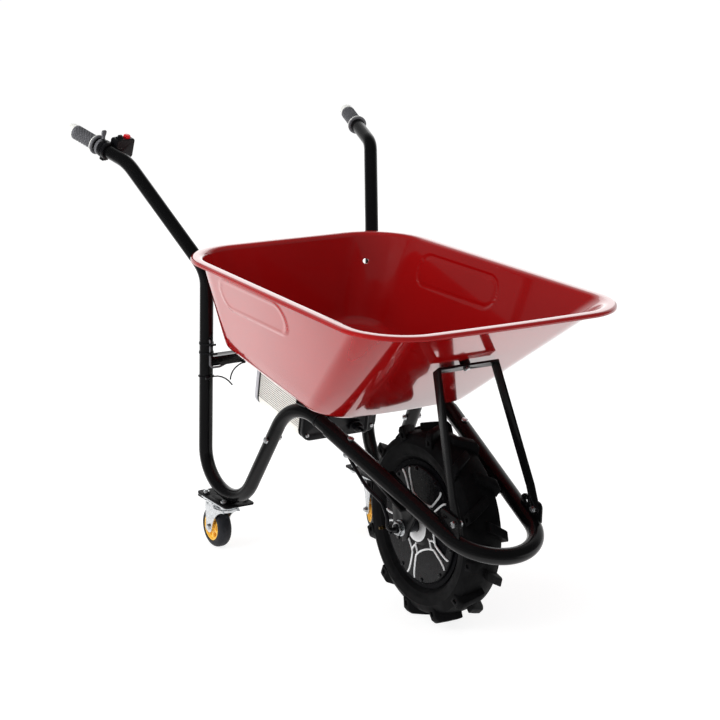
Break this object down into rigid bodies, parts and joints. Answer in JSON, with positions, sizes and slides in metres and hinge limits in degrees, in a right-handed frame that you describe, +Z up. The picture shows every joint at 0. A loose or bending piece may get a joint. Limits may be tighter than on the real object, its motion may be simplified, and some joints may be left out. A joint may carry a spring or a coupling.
{
  "type": "electric wheelbarrow",
  "caption": "Electric wheelbarrow with a deep steel tray, tubular frame, hub-motor wheel inside a front loop, swivel castors under the legs and a battery box below the tray.",
  "frame": {"origin": "on the ground, midway along and across the whole wheelbarrow", "axes": "+X forward towards the front loop, +Y to the user's left, +Z up"},
  "size_m": [1.3232, 0.7964, 0.9607],
  "materials": {
    "red_paint": "glossy",
    "black_paint": "glossy",
    "zinc": "plated",
    "dark_steel": "satin",
    "case_aluminium": "satin",
    "black_cast": "satin",
    "lamination": "plain",
    "tyre_rubber": "matte",
    "black_rubber": "matte",
    "black_plastic": "matte",
    "grey_plastic": "matte",
    "white_plastic": "glossy",
    "yellow_plastic": "glossy",
    "red_plastic": "glossy",
    "brass": "satin",
    "blue_wrap": "glossy"
  },
  "bodies": {
    "frame": {"tray": "red_paint", "tray_bolts": "zinc", "right_handle_tube": "black_paint", "left_handle_tube": "black_paint", "front_loop_tube": "black_paint", "frame_bolts": "zinc", "rear_cross_member": "black_paint", "front_cross_bar": "black_paint", "battery_hangers": "black_paint", "battery_case": "case_aluminium", "battery_front_cap": "black_plastic", "battery_rear_cap": "grey_plastic", "battery_gaskets": "black_rubber", "battery_cap_screws": "dark_steel", "cell_pack": "blue_wrap", "motor_controller": "case_aluminium", "power_connector": "black_plastic", "strut": "black_paint", "strut_brackets": "black_paint", "strut_bolts": "zinc", "right_dropout": "black_paint", "left_dropout": "black_paint", "axle": "dark_steel", "axle_fasteners": "zinc", "stator": "lamination", "foot_plates": "black_paint", "castor_bolts": "zinc", "castor_kingpins": "zinc", "grip_end_caps": "white_plastic", "switch_housing": "black_plastic", "throttle_clamp": "black_plastic", "control_cable": "black_rubber", "motor_cable": "black_rubber", "cable_ties": "black_plastic", "right_castor_plate": "zinc", "right_grip": "black_rubber", "left_castor_plate": "zinc", "left_grip": "black_rubber"},
    "wheel": {"motor_rim": "black_cast", "magnet_ring": "lamination", "right_motor_cover": "black_cast", "left_motor_cover": "black_cast", "cover_screws": "dark_steel", "motor_bearings": "zinc", "tyre": "tyre_rubber", "tyre_valve": "brass"},
    "right_castor": {"right_castor_fork": "zinc", "right_castor_axle": "zinc"},
    "right_castor_wheel": {"right_castor_hub": "yellow_plastic", "right_castor_tyre": "black_rubber"},
    "right_brake": {"right_brake_pedal": "black_plastic"},
    "left_castor": {"left_castor_fork": "zinc", "left_castor_axle": "zinc"},
    "left_castor_wheel": {"left_castor_hub": "yellow_plastic", "left_castor_tyre": "black_rubber"},
    "left_brake": {"left_brake_pedal": "black_plastic"},
    "throttle": {"throttle_lever": "black_plastic"},
    "stop_button": {"red_button": "red_plastic"},
    "rocker": {"rocker_switch": "black_plastic"}
  },
  "joints": [
    {"name": "wheel_spin", "type": "hinge", "parent": "frame", "child": "wheel", "pos_m": [0.35364, 0, 0.216], "axis": [0, 1, 0], "continuous": true},
    {"name": "right_castor_swivel", "type": "hinge", "parent": "frame", "child": "right_castor", "pos_m": [-0.20936, -0.205, 0.11], "axis": [0, 0, 1], "continuous": true},
    {"name": "right_castor_spin", "type": "hinge", "parent": "right_castor", "child": "right_castor_wheel", "pos_m": [-0.24936, -0.205, 0.05], "axis": [0, 1, 0], "continuous": true},
    {"name": "right_brake_pedal_press", "type": "hinge", "parent": "right_castor", "child": "right_brake", "pos_m": [-0.25936, -0.205, 0.106], "axis": [0, -1, 0], "range_deg": [0, 14]},
    {"name": "left_castor_swivel", "type": "hinge", "parent": "frame", "child": "left_castor", "pos_m": [-0.20936, 0.205, 0.11], "axis": [0, 0, 1], "continuous": true},
    {"name": "left_castor_spin", "type": "hinge", "parent": "left_castor", "child": "left_castor_wheel", "pos_m": [-0.17178, 0.19132, 0.05], "axis": [-0.342, -0.9397, 0], "continuous": true},
    {"name": "left_brake_pedal_press", "type": "hinge", "parent": "left_castor", "child": "left_brake", "pos_m": [-0.16238, 0.1879, 0.106], "axis": [0.342, 0.9397, 0], "range_deg": [0, 14]},
    {"name": "throttle_press", "type": "hinge", "parent": "frame", "child": "throttle", "pos_m": [-0.54833, -0.35518, 0.91686], "axis": [-0.9415, -0.2347, 0.2419], "range_deg": [0, 45], "stiffness_Nm_per_rad": 0.2, "springref_deg": -5.73},
    {"name": "stop_button_press", "type": "slide", "parent": "frame", "child": "stop_button", "axis": [-0.2347, -0.0585, -0.9703], "range_m": [0, 0.002], "stiffness_N_per_m": 400, "springref_m": -0.001},
    {"name": "rocker_tilt", "type": "hinge", "parent": "frame", "child": "rocker", "pos_m": [-0.51979, -0.32333, 0.93792], "axis": [0.2419, -0.9703, 0], "range_deg": [-12, 12]}
  ]
}
